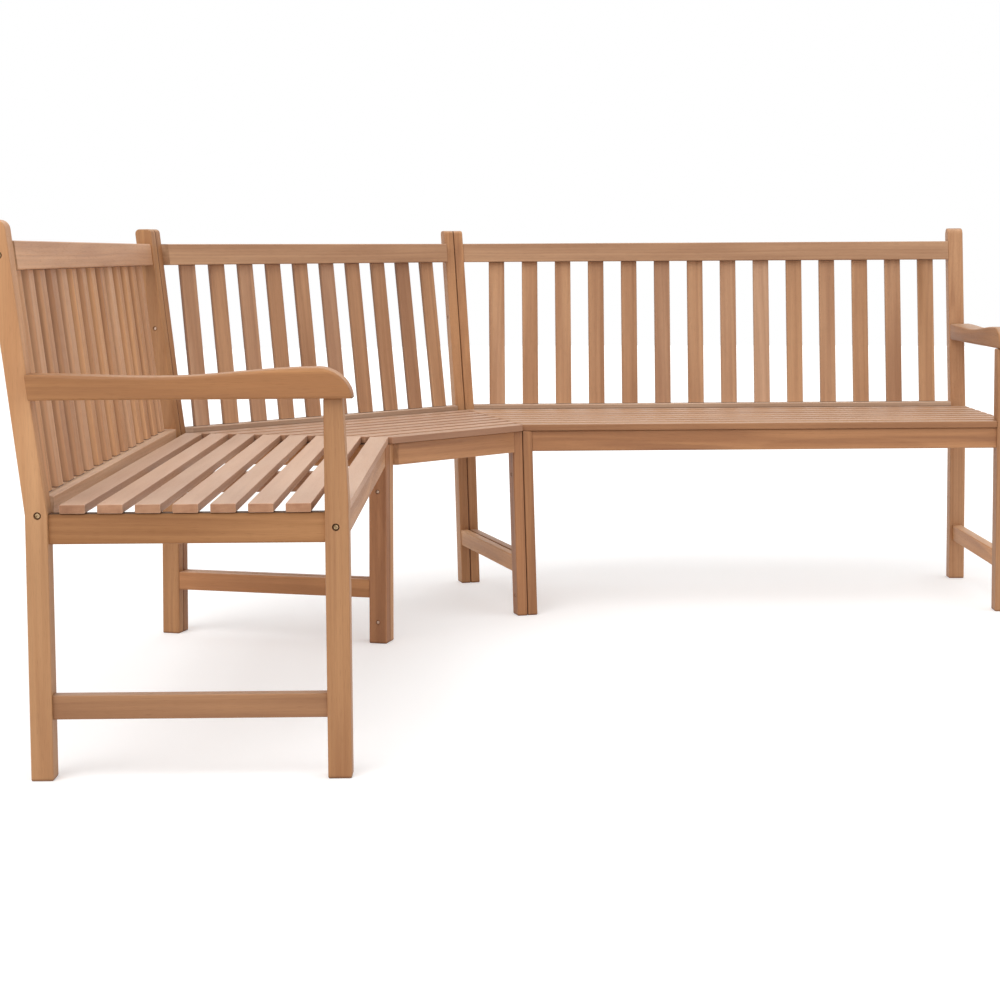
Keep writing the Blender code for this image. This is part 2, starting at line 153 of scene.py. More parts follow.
def clouds(tree, vector, scale, detail=2.0, roughness=0.5):
    # Noise stretched by a different scale along each axis, in features per metre
    stretched = vectors(tree, "MULTIPLY", vector, scale)
    return put(tree, "ShaderNodeTexNoise", {
        "Vector": stretched, "Scale": 1.0, "Detail": detail, "Roughness": roughness})


def patches(tree, vector, kind):
    # A mask from a kind of noise, between the two levels of its span
    noise = clouds(tree, vector, **kind["noise"]).outputs["Fac"]
    return eased(tree, noise, *kind["span"], kind.get("least", 0.0), 1.0)


def onBoard(tree, vector, turn, middle=(0, 0, 0)):
    # A place or direction on the bench, in a board's own coordinates
    return put(tree, "ShaderNodeMapping", {"Vector": vector, "Location": middle, "Rotation": turn},
               vector_type="TEXTURE").outputs[0]


def newGroup(name, inputs, outputs):
    tree = bpy.data.node_groups.new(name, "ShaderNodeTree")
    for label, kind, value in inputs:
        socket = tree.interface.new_socket(name=label, in_out="INPUT", socket_type="NodeSocket" + kind)
        socket.default_value = value
    for label, kind in outputs:
        tree.interface.new_socket(name=label, in_out="OUTPUT", socket_type="NodeSocket" + kind)
    return tree, tree.nodes.new("NodeGroupInput").outputs, tree.nodes.new("NodeGroupOutput").inputs


# Each pattern in the grain, with what it does to the colour, roughness and height. Pairs for the
# fibres are a factor and what is added to it
grainLook = {
    "sway": {"noise": {"scale": (1.2, 5, 5), "detail": 1.0}, "reach": (0, 0.030, 0.030)},
    "ring": {"rise": (0.25, 0.88), "fall": (0.90, 1.0), "varies": 0.75, "least": 0.25, "height": -0.35},
    "wide": {"noise": {"scale": (1.6, 15, 15), "detail": 2.0}, "span": (0.30, 0.70), "depth": 0.80},
    "streak": {"noise": {"scale": (1.5, 75, 75), "detail": 3.0}, "span": (0.28, 0.72), "middle": 0.4},
    "heart": {"noise": {"scale": (1.3, 42, 42), "detail": 2.0}, "span": (0.56, 0.76), "depth": 0.75},
    "fibre": {"noise": {"scale": (10, 520, 520), "detail": 2.0, "roughness": 0.6},
              "tint": (0.18, 0.91), "roughness": (0.22, 0.44)},
    "pore": {"noise": {"scale": (45, 1500, 1500), "detail": 0.0}, "span": (0.62, 0.74),
             "tint": -0.12, "roughness": 0.12, "height": -0.5},
}


def makeGrainGroup():
    # Sawn teak with its grain along X: rings round a pith, streaks, fibres and pores
    tree, given, out = newGroup("teakGrain", [
        ("Vector", "Vector", (0, 0, 0)),
        ("Pith", "Vector", (0, 0.02, 0.09)),
        ("Ring Width", "Float", 0.007),
        ("Rings", "Float", 0.4),
        ("Streaks", "Float", 0.5),
        ("Light", "Color", (0.5, 0.3, 0.15, 1)),
        ("Dark", "Color", (0.4, 0.2, 0.1, 1)),
        ("Heart", "Color", (0.25, 0.1, 0.05, 1)),
    ], [("Color", "Color"), ("Roughness", "Float"), ("Height", "Float")])
    place = given["Vector"]
    ring, fibreLook, poreLook = grainLook["ring"], grainLook["fibre"], grainLook["pore"]

    sway = clouds(tree, place, **grainLook["sway"]["noise"]).outputs["Color"]
    sway = vectors(tree, "SUBTRACT", sway, (0.5, 0.5, 0.5))
    bent = vectors(tree, "ADD", place, vectors(tree, "MULTIPLY", sway, grainLook["sway"]["reach"]))

    across = vectors(tree, "MULTIPLY", vectors(tree, "ADD", bent, given["Pith"]), (0, 1, 1))
    phase = reckon(tree, "DIVIDE", vectors(tree, "LENGTH", across), given["Ring Width"])
    share = reckon(tree, "FRACT", phase)
    late = reckon(tree, "MULTIPLY", eased(tree, share, *ring["rise"]),
                  eased(tree, share, *ring["fall"], 1.0, 0.0))
    year = put(tree, "ShaderNodeTexWhiteNoise", {"W": reckon(tree, "FLOOR", phase)}, noise_dimensions="1D")
    strength = reckon(tree, "MULTIPLY_ADD", year.outputs["Value"], ring["varies"], ring["least"])
    late = reckon(tree, "MULTIPLY", late, strength)

    wide, streak, heart = (patches(tree, bent, grainLook[key]) for key in ("wide", "streak", "heart"))
    fibre = clouds(tree, place, **fibreLook["noise"]).outputs["Fac"]
    pore = patches(tree, place, poreLook)

    depth = reckon(tree, "MULTIPLY", wide, grainLook["wide"]["depth"])
    depth = reckon(tree, "MULTIPLY_ADD", late, given["Rings"], depth)
    streak = reckon(tree, "SUBTRACT", streak, grainLook["streak"]["middle"])
    depth = reckon(tree, "MULTIPLY_ADD", streak, given["Streaks"], depth, clamp=True)
    colour = blended(tree, depth, given["Light"], given["Dark"])
    heart = reckon(tree, "MULTIPLY", heart, given["Streaks"])
    heart = reckon(tree, "MULTIPLY", heart, grainLook["heart"]["depth"])
    colour = blended(tree, heart, colour, given["Heart"])
    tint = reckon(tree, "MULTIPLY_ADD", fibre, *fibreLook["tint"])
    tint = reckon(tree, "MULTIPLY", tint, reckon(tree, "MULTIPLY_ADD", pore, poreLook["tint"], 1.0))
    tree.links.new(vectors(tree, "MULTIPLY", colour, joined(tree, tint, tint, tint)), out["Color"])

    rough = reckon(tree, "MULTIPLY_ADD", fibre, *fibreLook["roughness"])
    tree.links.new(reckon(tree, "MULTIPLY_ADD", pore, poreLook["roughness"], rough), out["Roughness"])
    height = reckon(tree, "MULTIPLY_ADD", pore, poreLook["height"], fibre)
    tree.links.new(reckon(tree, "MULTIPLY_ADD", late, ring["height"], height), out["Height"])
    return tree


wearAndSheenLook = {
    "facingUp": (0.5, 0.95),
    "sheenPatches": {"noise": {"scale": (4, 26, 26), "detail": 3.0}, "span": (0.25, 0.75), "least": 0.65},
    "offFlat": (0.97, 0.80),
    "rubbed": {"noise": {"scale": (25, 90, 90), "detail": 2.0}, "span": (0.3, 0.7), "least": 0.35},
    "rubbedTint": (1.35, 1.38, 1.42, 1),
    "facingAlong": (0.80, 0.96),
    "endTint": (0.80, 0.70, 0.60, 1),
}


def makeWearAndSheenGroup():
    # Paler up-facing tops in patches, a painted sheen standing in for the light from above; lighter eased
    # edges and darker end grain
    tree, given, out = newGroup("teakWearAndSheen", [
        ("Color", "Color", (0.5, 0.3, 0.15, 1)),
        ("Vector", "Vector", (0, 0, 0)),
        ("Normal", "Vector", (0, 0, 1)),
        ("Board Normal", "Vector", (0, 0, 1)),
        ("SheenColour", "Color", (0.6, 0.42, 0.3, 1)),
        ("SheenShare", "Float", 0.5),
        ("Wear", "Float", 0.3),
    ], [("Color", "Color")])
    # Painted sheen: up-facing tops turn paler in patches, standing in for the light from above
    up = eased(tree, split(tree, given["Normal"])["Z"], *wearAndSheenLook["facingUp"])
    sheenPatches = reckon(tree, "MULTIPLY", up, patches(tree, given["Vector"], wearAndSheenLook["sheenPatches"]))
    colour = blended(tree, reckon(tree, "MULTIPLY", sheenPatches, given["SheenShare"]), given["Color"], given["SheenColour"])

    sides = split(tree, vectors(tree, "ABSOLUTE", given["Board Normal"]))
    flat = reckon(tree, "MAXIMUM", reckon(tree, "MAXIMUM", sides["X"], sides["Y"]), sides["Z"])
    rubbed = patches(tree, given["Vector"], wearAndSheenLook["rubbed"])
    edge = reckon(tree, "MULTIPLY", eased(tree, flat, *wearAndSheenLook["offFlat"]), rubbed)
    paler = blended(tree, 1.0, colour, wearAndSheenLook["rubbedTint"], "MULTIPLY")
    colour = blended(tree, reckon(tree, "MULTIPLY", edge, given["Wear"]), colour, paler)

    end = eased(tree, sides["X"], *wearAndSheenLook["facingAlong"])
    darker = blended(tree, 1.0, colour, wearAndSheenLook["endTint"], "MULTIPLY")
    tree.links.new(blended(tree, end, colour, darker), out["Color"])
    return tree


grainGroup = makeGrainGroup()
wearAndSheenGroup = makeWearAndSheenGroup()

# Tones of teak: pale sapwood side, darker side, and the colour of its darkest streaks
tones = {
    "honey": {"light": (0.560, 0.310, 0.155), "dark": (0.430, 0.212, 0.095), "heart": (0.300, 0.130, 0.055)},
    "amber": {"light": (0.490, 0.242, 0.108), "dark": (0.350, 0.158, 0.066), "heart": (0.225, 0.090, 0.038)},
    "rose": {"light": (0.540, 0.318, 0.200), "dark": (0.415, 0.220, 0.128), "heart": (0.290, 0.140, 0.075)},
    "umber": {"light": (0.390, 0.190, 0.095), "dark": (0.255, 0.110, 0.050), "heart": (0.170, 0.070, 0.035)},
}

# Where each section starts on the floor and the way it runs. The angles are in degrees
sections = {
    "left": {
        "start": (-0.95689, -0.99400), "heading": 90, "length": 1.28444,
        "mitres": (0, 16.5), "tilt": -0.0248, "ends": ("outer", "inner"),
        "firstSlat": 0.09550, "slatPitch": 0.084982, "slope": 0.11747,
    },
    "corner": {
        "start": (-0.95689, 0.29044), "heading": 45, "length": 0.94250,
        "mitres": (28.5, 28.5), "tilt": 0.0248, "ends": ("left", "right"),
        "firstSlat": 0.10246, "slatPitch": 0.081953, "slope": 0.12596,
    },
    "right": {
        "start": (-0.29044, 0.95689), "heading": 0, "length": 1.28444,
        "mitres": (16.5, 0), "tilt": -0.0248, "ends": ("inner", "outer"),
        "firstSlat": 0.08417, "slatPitch": 0.084982, "slope": 0.11747,
    },
}
upward = Vector((0, 0, 1))


def axesOf(heading):
    # Along and towards the back, for a piece that runs along this heading in degrees
    turn = radians(heading)
    return Vector((cos(turn), sin(turn), 0)), Vector((-sin(turn), cos(turn), 0))


def endHeading(section, end):
    # The heading of the frame at a section's low or high end
    return section["heading"] + (section["mitres"][0] if end == 0 else -section["mitres"][1])


def endPlace(section, end):
    # Where a section's low or high end is on the floor
    along = axesOf(section["heading"])[0]
    return Vector((*section["start"], 0)) + along * section["length"] * end


def frameKind(section, end):
    return "joint" if section["mitres"][end] else "end"


def inward(end):
    # Which way along the section the frame at its low or high end faces
    return 1 - 2 * end


def boardPlace(name, grain, width):
    # Middle and turn of a board with its grain and width along two directions
    axes = (grain, width, grain.cross(width))
    corners = [vertex.co for vertex in nodes[name].data.vertices]
    spans = [[corner.dot(axis) for corner in corners] for axis in axes]
    middle = sum((axis * (min(span) + max(span)) / 2 for axis, span in zip(axes, spans)), Vector())
    return middle, Matrix(axes).transposed().to_euler()


def startMaterial(name):
    material = bpy.data.materials.new(name)
    material.use_nodes = True
    tree = material.node_tree
    tree.nodes.clear()
    shader = put(tree, "ShaderNodeBsdfPrincipled")
    finish = put(tree, "ShaderNodeOutputMaterial")
    tree.links.new(shader.outputs[0], finish.inputs["Surface"])
    return material, tree, shader


# The pattern of each board starts a step further along than the one before
teakLook = {
    "pith": (0.020, 0.090),
    "ringWidth": 0.0075,
    "rings": 0.38,
    "streaks": 0.58,
    # The colour and share of the painted sheen on up-facing tops
    "sheenColour": (0.600, 0.420, 0.300),
    "sheenShare": 0.55,
    "wear": 0.35,
    "bump": 0.20,
    "bumpDepth": 0.0006,
    "tone": "honey",
    "tint": (1, 1, 1),
    "patternStart": 1.3,
    "patternStep": 3.7,
}

# Darker places: painted shade in bolt holes, where two frames meet, under the seat slats' ends and
# between slats; and darker at the feet. "warmth" is how much more green and blue darken than red, as powers
shadeLook = {
    "warmth": (1.15, 1.35),
    "holeRim": (-0.0004, 0.0003),
    "joint": 0.34,
    "jointWidth": (0.0003, 0.0026),
    "underSlats": 0.28,
    "underSlatsDepth": 0.0016,
    "overhang": 0.66,
    "overhangDepth": 0.0100,
    "fadeSpan": (-0.12, 0.15),
    "seatLine": {"left": 1.00, "corner": 0.75, "right": 0.42},
    "seatLineEase": 0.0004,
    "slatSides": 0.86,
    "frontSlatSides": 0.92,
    "sideTurn": (0.6, 0.95),
    "panelSlatSides": 0.50,
    "panelSideTurn": (0.3, 0.9),
    "panelFront": -0.5,
    "foot": 0.55,
    "footHeight": (0.0010, 0.0060),
}


def shaded(colour, tint):
    return (*(part * share for part, share in zip(colour, tint)), 1)


def holeShades(tree, place, holes, radius, shade):
    # Painted shade inside bolt holes whose places on the board are given
    inner, outer = shadeLook["holeRim"]
    shades = []
    for hole in holes:
        flat = vectors(tree, "MULTIPLY", vectors(tree, "SUBTRACT", place, (*hole, 0)), (1, 1, 0))
        away = vectors(tree, "LENGTH", flat)
        shades.append(eased(tree, away, radius + inner, radius + outer, shade, 1.0))
    return shades


def jointShade(tree, where, facing, offset):
    # Painted shade on the edges beside the plane where the frames of two sections meet
    along = vectors(tree, "DOT_PRODUCT", where, facing)
    away = reckon(tree, "ABSOLUTE", reckon(tree, "SUBTRACT", along, offset))
    return eased(tree, away, *shadeLook["jointWidth"], shadeLook["joint"], 1.0)


def finishTeak(tree, shader, place, normal, boardNormal, look, light, dark, heart, shades):
    # The grain group and the group of painted top sheen, edge wear and end grain, with this board's values,
    # darkened by the shades, into its shader
    grain = put(tree, "ShaderNodeGroup", {
        "Vector": place, "Pith": (0, *look["pith"]), "Ring Width": look["ringWidth"],
        "Rings": look["rings"], "Streaks": look["streaks"], "Light": light, "Dark": dark, "Heart": heart,
    }, node_tree=grainGroup).outputs
    colour = put(tree, "ShaderNodeGroup", {
        "Color": grain["Color"], "Vector": place, "Normal": normal, "Board Normal": boardNormal,
        "SheenColour": shaded(look["sheenColour"], look["tint"]), "SheenShare": look["sheenShare"], "Wear": look["wear"],
    }, node_tree=wearAndSheenGroup).outputs["Color"]
    if shades:
        # Light between boards turns warmer as it darkens
        red = product(tree, shades)
        green, blue = (reckon(tree, "POWER", red, power) for power in shadeLook["warmth"])
        colour = vectors(tree, "MULTIPLY", colour, joined(tree, red, green, blue))
    tree.links.new(colour, shader.inputs["Base Color"])
    tree.links.new(grain["Roughness"], shader.inputs["Roughness"])
    bump = put(tree, "ShaderNodeBump", {
        "Strength": look["bump"], "Distance": look["bumpDepth"], "Height": grain["Height"]})
    tree.links.new(bump.outputs["Normal"], shader.inputs["Normal"])


weldDistance = 0.00001


def giveMaterial(name, material):
    # The board's own material, and smooth eased edges between flat faces
    piece = nodes[name]
    piece.data.materials.clear()
    piece.data.materials.append(material)
    for polygon in piece.data.polygons:
        polygon.use_smooth = True
    weld = piece.modifiers.new("weld", "WELD")
    weld.merge_threshold = weldDistance
    piece.modifiers.new("edges", "WEIGHTED_NORMAL")


def teakBoard(name, grain, width, number, holes=(), joint=None, **changes):
    # A teak of its own for one board, with a pattern that no other board has
    look = {**teakLook, **changes}
    tone = tones[look["tone"]]
    material, tree, shader = startMaterial("teak_" + name)
    middle, turn = boardPlace(name, grain, width)
    where = put(tree, "ShaderNodeTexCoord").outputs["Object"]
    board = onBoard(tree, where, turn, middle)
    place = vectors(tree, "ADD", board, (look["patternStep"] * number + look["patternStart"], 0.0, 0.0))
    normal = put(tree, "ShaderNodeNewGeometry").outputs["Normal"]
    boardNormal = onBoard(tree, normal, turn)
    colours = [shaded(tone[key], look["tint"]) for key in ("light", "dark", "heart")]

    shades = []
    # Painted shade in the bolt holes
    if holes:
        spots = [((spot - middle).dot(grain), (spot - middle).dot(width)) for spot in holes]
        shades += holeShades(tree, board, spots, look["holeRadius"], look["holeShade"])
    if joint:
        shades.append(jointShade(tree, where, *joint))
    # Painted shadow of the seat slats' overhanging ends on the side rail's top: a thin dark line and a softer
    # band below it
    if "topEdge" in look:
        height = split(tree, board)["Y"]
        for key in ("underSlats", "overhang"):
            low = look["topEdge"] - shadeLook[key + "Depth"]
            shades.append(eased(tree, height, low, look["topEdge"], 1.0, shadeLook[key]))
    if "fade" in look:
        shades.append(eased(tree, split(tree, board)["X"], *shadeLook["fadeSpan"], *look["fade"]))
    if "foot" in look:
        shades.append(eased(tree, split(tree, where)["Z"], *shadeLook["footHeight"], look["foot"], 1.0))
    # Painted shade on the slats' sides, where neighbouring slats shade each other
    if "sides" in look:
        across = split(tree, vectors(tree, "ABSOLUTE", boardNormal))["Y"]
        shades.append(eased(tree, across, *shadeLook["sideTurn"], 1.0, look["sides"]))
    if "specular" in look:
        shader.inputs["Specular IOR Level"].default_value = look["specular"]
    finishTeak(tree, shader, place, normal, boardNormal, look, *colours, shades)
    giveMaterial(name, material)


# The bolts of each kind of frame: their heads, their metal, and their holes as (back, height).
# "face" is how far from the frame's plane the holes start
bolts = {
    "end": {
        "radius": 0.0043, "sunk": 0.0018, "length": 0.0038, "rim": 0.0010,
        "socket": 0.0018, "socketDepth": 0.0020, "segments": 32,
        "face": 0, "holeRadius": 0.0062, "holeShade": 0.42,
        "bright": (0.50, 0.35, 0.20), "dull": (0.19, 0.12, 0.06),
        "holes": {"rear_post": [(0.03133, 0.8435), (-0.02000, 0.4295)],
                  "front_leg": [(-0.49400, 0.40785)]},
    },
    "joint": {
        "radius": 0.0032, "sunk": 0.0016, "length": 0.0040, "rim": 0.0008,
        "socket": 0.0014, "socketDepth": 0.0016, "segments": 24,
        "face": 0.024, "holeRadius": 0.0048, "holeShade": 0.85,
        "bright": (0.78, 0.58, 0.45), "dull": (0.46, 0.31, 0.22),
        "holes": {"rear_post": [(0.00611, 0.680)],
                  "front_leg": [(-0.51712, 0.046), (-0.51712, 0.330)]},
    },
}

# What sets single boards apart. "fade" is the shade at the low and high end of the grain
boardLooks = {
    "left_outer_rear_post": {"tint": (0.97, 0.91, 0.82), "pith": (0.010, 0.075), "rings": 0.40,
                             "fade": (0.86, 1.20)},
    "left_outer_front_leg": {"tint": (0.765, 0.675, 0.560), "pith": (0.060, 0.050)},
    "left_outer_side_rail": {"tone": "amber", "tint": (0.95, 0.95, 0.92), "streaks": 0.60},
    "left_outer_stretcher": {"tone": "amber", "tint": (0.83, 0.83, 0.83)},
    "left_outer_arm": {"tone": "amber", "tint": (0.91, 0.83, 0.64), "streaks": 0.90, "rings": 0.55,
                       "sheenShare": 0.10, "wear": 0.0, "fade": (1.12, 0.99)},
    "left_inner_front_leg": {"tone": "amber", "tint": (0.91, 0.82, 0.78), "streaks": 0.70},
    "left_inner_rear_post": {"tone": "amber", "tint": (0.98, 0.97, 0.87)},
    "left_inner_stretcher": {"tone": "amber", "tint": (1.18, 1.11, 0.98)},
    "corner_left_rear_post": {"tone": "amber", "tint": (0.98, 0.96, 0.90)},
    "corner_left_front_leg": {"tint": (1.00, 0.93, 0.88)},
    "corner_front_rail": {"tone": "amber", "tint": (1.00, 0.95, 0.90), "streaks": 0.60},
    "corner_right_front_leg": {"tone": "umber", "tint": (1.10, 1.00, 0.80), "streaks": 0.60},
    "corner_right_stretcher": {"tone": "amber", "tint": (1.33, 1.34, 1.20)},
    "corner_right_rear_post": {"tone": "amber", "tint": (1.02, 1.01, 0.97)},
    "right_inner_front_leg": {"tone": "amber", "tint": (0.86, 0.79, 0.70)},
    "right_inner_rear_post": {"tone": "amber", "tint": (1.06, 1.05, 1.01)},
    "right_front_rail": {"tone": "amber", "tint": (0.92, 0.86, 0.79), "streaks": 0.85, "rings": 0.45},
    "right_outer_stretcher": {"tone": "amber", "tint": (1.32, 1.28, 1.12)},
    "right_outer_front_leg": {"tint": (0.79, 0.73, 0.68)},
    "right_outer_rear_post": {"tint": (1.04, 1.01, 1.02), "fade": (1.02, 0.87)},
    "right_outer_arm": {"tone": "amber", "tint": (0.95, 0.95, 0.90), "streaks": 0.60, "sheenShare": 0.40},
}
railLook = {"tone": "amber", "tint": (0.97, 0.95, 0.92)}
# "topEdge" is the side rail's top, above its middle, where the painted shadow of the slats' ends starts
sideRailLook = {**railLook, "topEdge": 0.0245, "specular": 0.15}
# Each seat's share of painted sheen on its slats' tops is set here
seatLooks = {
    "left": {"tone": "rose", "tint": (1.04, 1.02, 1.02), "sheenShare": 0.75},
    "corner": {"tone": "rose", "tint": (0.90, 0.83, 0.78), "sheenShare": 0.65},
    "right": {"tone": "amber", "tint": (0.92, 0.88, 0.84), "sheenShare": 0.65},
}
# How light each seat slat is beside its neighbours, from the front one back
seatTones = (0.98, 1.05, 1.03, 0.97, 1.02, 0.95, 1.03, 0.94)


def holePlaces(section, end, piece):
    # Where a piece's bolt holes start, in the bench's own coordinates
    kind = bolts[frameKind(section, end)]
    frameAlong, frameBack = axesOf(endHeading(section, end))
    tilt = section["tilt"] if section["mitres"][end] else 0
    return [endPlace(section, end) + frameAlong * inward(end) * (kind["face"] + tilt * z)
            + frameBack * y + upward * z for y, z in kind["holes"].get(piece, ())]


def finishBoards():
    numbers = {}

    def finish(name, grain, width, look, **more):
        numbers[name] = len(numbers) + 1
        teakBoard(name, grain, width, numbers[name], **{**look, **boardLooks.get(name, {}), **more})

    for sectionName, section in sections.items():
        along, back = axesOf(section["heading"])
        for end, endName in enumerate(section["ends"]):
            frameAlong, frameBack = axesOf(endHeading(section, end))
            first = f"{sectionName}_{endName}_"
            kind = bolts[frameKind(section, end)]
            joint = None
            # Painted shade along the gap where the two frames of a joint meet
            if section["mitres"][end]:
                facing = frameAlong - upward * section["tilt"] * inward(end)
                joint = (facing, endPlace(section, end).dot(facing))
            look = {key: kind[key] for key in ("holeRadius", "holeShade")}
            look["foot"] = shadeLook["foot"]
            for piece in ("rear_post", "front_leg"):
                holes = holePlaces(section, end, piece)
                finish(first + piece, upward, frameBack, look, holes=holes, joint=joint)
            finish(first + "side_rail", frameBack, upward, sideRailLook)
            finish(first + "stretcher", frameBack, upward, railLook)
            if first + "arm" in nodes:
                finish(first + "arm", frameBack, upward, {"tone": "amber"})
        finish(sectionName + "_front_rail", along, upward, railLook)
        finish(sectionName + "_seat_bearer", back, upward, {"tone": "umber"})
        seatLook = seatLooks[sectionName]
        for slat, tone in enumerate(seatTones, 1):
            tint = tuple(part * tone for part in seatLook["tint"])
            # Painted shade on the slats' sides, lighter on the front slat
            sides = shadeLook["slatSides"] if slat > 1 else shadeLook["frontSlatSides"]
            finish(f"{sectionName}_seat_slat_{slat}", along, back, {**seatLook, "tint": tint, "sides": sides})


# Heights and depths of a panel's parts, and its colours. "topRail", "lowRail" and "slatRose" are
# shares of the rose tone, and "topRailShift" keeps the two rails' patterns apart
panelLook = {
    **teakLook,
    "railTop": 0.457,
    "topRailLow": 0.820,
    "railEdge": 0.0002,
    "slatMiddle": 0.640,
    "slatWidth": 0.0400,
    "slatFront": -0.0225,
    "slatRear": -0.0105,
    "kneeHeight": 0.430,
    "seatTop": 0.4475,
    "jointLine": 0.0011,
    "jointBeyond": (0.0005, 0.0006),
    "jointShadowColour": (0.10, 0.05, 0.03, 1),
    "pith": (0.015, 0.060),
    "sectionStep": 17.0,
    "slatShift": 40.0,
    "topRailShift": (9.3, -0.39),
    "topRail": 0.45,
    "lowRail": 1.00,
    "slatRose": (0.28, 0.85),
    "roseSpan": (0.30, 0.80),
    "slatUmber": (0.0, 0.50),
    "umberSpan": (0.55, 0.95),
    "tints": {"left": (1.27, 1.28, 1.20), "corner": (1.06, 1.08, 1.07), "right": (1.08, 1.12, 1.11)},
    "topRailTints": {"left": (0.96, 0.95, 0.97), "corner": (0.96, 0.98, 0.98), "right": (0.89, 0.90, 0.91)},
    "lowRailTints": {"left": (0.99, 1.02, 1.03), "corner": (1.00, 1.12, 1.24), "right": (1.02, 1.14, 1.26)},
}


def panelMaterial(sectionName, number):
    # A back panel: grain along its two rails and up its slats, and each slat with its own tone
    section = sections[sectionName]
    look = panelLook
    material, tree, shader = startMaterial("teak_" + sectionName + "_back_panel")
    where = put(tree, "ShaderNodeTexCoord").outputs["Object"]
    turn = (0, 0, radians(section["heading"]))
    x, y, z = split(tree, onBoard(tree, where, turn, (*section["start"], 0)))
    lean = reckon(tree, "MULTIPLY", reckon(tree, "SUBTRACT", z, look["kneeHeight"]), section["slope"])
    deep = reckon(tree, "SUBTRACT", y, lean)

    fromFirst = reckon(tree, "SUBTRACT", x, section["firstSlat"])
    slat = reckon(tree, "ROUND", reckon(tree, "DIVIDE", fromFirst, section["slatPitch"]))
    middle = reckon(tree, "MULTIPLY_ADD", slat, section["slatPitch"], section["firstSlat"])
    fromMiddle = reckon(tree, "SUBTRACT", x, middle)
    seed = reckon(tree, "ADD", slat, look["sectionStep"] * number)
    own = put(tree, "ShaderNodeTexWhiteNoise", {"W": seed}, noise_dimensions="1D").outputs
    shift = reckon(tree, "MULTIPLY", own["Value"], look["slatShift"])
    upright = joined(tree, reckon(tree, "ADD", z, shift), fromMiddle, deep)
    isTop = reckon(tree, "GREATER_THAN", z, look["slatMiddle"])
    shiftAlong, shiftUp = look["topRailShift"]
    level = joined(tree, reckon(tree, "MULTIPLY_ADD", isTop, shiftAlong, x),
                   reckon(tree, "MULTIPLY_ADD", isTop, shiftUp, z), deep)
    overLow = reckon(tree, "GREATER_THAN", z, look["railTop"] + look["railEdge"])
    underTop = reckon(tree, "LESS_THAN", z, look["topRailLow"] - look["railEdge"])
    isSlat = reckon(tree, "MULTIPLY", overLow, underTop)
    place = mixedVectors(tree, isSlat, level, upright)

    normal = put(tree, "ShaderNodeNewGeometry").outputs["Normal"]
    turned = onBoard(tree, normal, turn)
    nx, ny, nz = split(tree, turned)
    boardNormal = mixedVectors(tree, isSlat, turned, joined(tree, nz, nx, ny))

    # A thin painted shadow line where each slat enters its rails
    fromLow = reckon(tree, "ABSOLUTE", reckon(tree, "SUBTRACT", z, look["railTop"]))
    fromTop = reckon(tree, "ABSOLUTE", reckon(tree, "SUBTRACT", z, look["topRailLow"]))
    atEnds = reckon(tree, "LESS_THAN", reckon(tree, "MINIMUM", fromLow, fromTop), look["jointLine"])
    beside, behind = look["jointBeyond"]
    within = reckon(tree, "LESS_THAN", reckon(tree, "ABSOLUTE", fromMiddle), look["slatWidth"] / 2 + beside)
    fromCore = reckon(tree, "SUBTRACT", deep, (look["slatFront"] + look["slatRear"]) / 2)
    core = reckon(tree, "ABSOLUTE", fromCore)
    close = reckon(tree, "LESS_THAN", core, (look["slatRear"] - look["slatFront"]) / 2 + behind)
    joint = product(tree, (atEnds, within, close))

    pick = put(tree, "ShaderNodeSeparateColor", {0: own["Color"]}).outputs
    railRose = mixed(tree, isTop, look["lowRail"], look["topRail"])
    slatRose = eased(tree, pick[1], *look["roseSpan"], *look["slatRose"])
    toRose = mixed(tree, isSlat, railRose, slatRose)
    toUmber = reckon(tree, "MULTIPLY", eased(tree, pick[2], *look["umberSpan"], *look["slatUmber"]), isSlat)
    tint = look["tints"][sectionName]
    lowRailTint, topRailTint = ((*look[key][sectionName], 1) for key in ("lowRailTints", "topRailTints"))
    ownTint = blended(tree, isSlat, blended(tree, isTop, lowRailTint, topRailTint), (1, 1, 1, 1))
    colours = []
    for key in ("light", "dark", "heart"):
        amber, rose, umber = (shaded(tones[tone][key], tint) for tone in ("amber", "rose", "umber"))
        colour = blended(tree, toUmber, blended(tree, toRose, amber, rose), umber)
        colour = blended(tree, 1.0, colour, ownTint, "MULTIPLY")
        colours.append(blended(tree, joint, colour, look["jointShadowColour"]))

    # Painted shade: slats darken along their sides towards the back
    facing = reckon(tree, "ABSOLUTE", nx)
    sides = reckon(tree, "MULTIPLY", eased(tree, facing, *shadeLook["panelSideTurn"]), isSlat)
    deeper = eased(tree, deep, look["slatFront"], look["slatRear"], 1.0, shadeLook["panelSlatSides"])
    shade = mixed(tree, sides, 1.0, deeper)
    # The lower rail's face is in shade below the seat's top
    below = eased(tree, z, look["seatTop"] - shadeLook["seatLineEase"], look["seatTop"], 1.0, 0.0)
    below = reckon(tree, "MULTIPLY", below, reckon(tree, "LESS_THAN", ny, shadeLook["panelFront"]))
    seatLine = mixed(tree, below, 1.0, shadeLook["seatLine"][sectionName])
    finishTeak(tree, shader, place, normal, boardNormal, look, *colours, [shade, seatLine])
    giveMaterial(sectionName + "_back_panel", material)


# What all bolts share. "roughness" is a factor for the dull patches and what is added to it
boltLook = {
    "patches": {"noise": {"scale": (300, 300, 300), "detail": 3.0}, "span": (0.40, 0.68)},
    "roughness": (0.20, 0.38),
    "scratches": {"scale": (2500, 2500, 2500), "detail": 1.0},
    "bump": 0.15,
    "bumpDepth": 0.0002,
    "rimSegments": 3,
    "sharpAngle": 40,
}


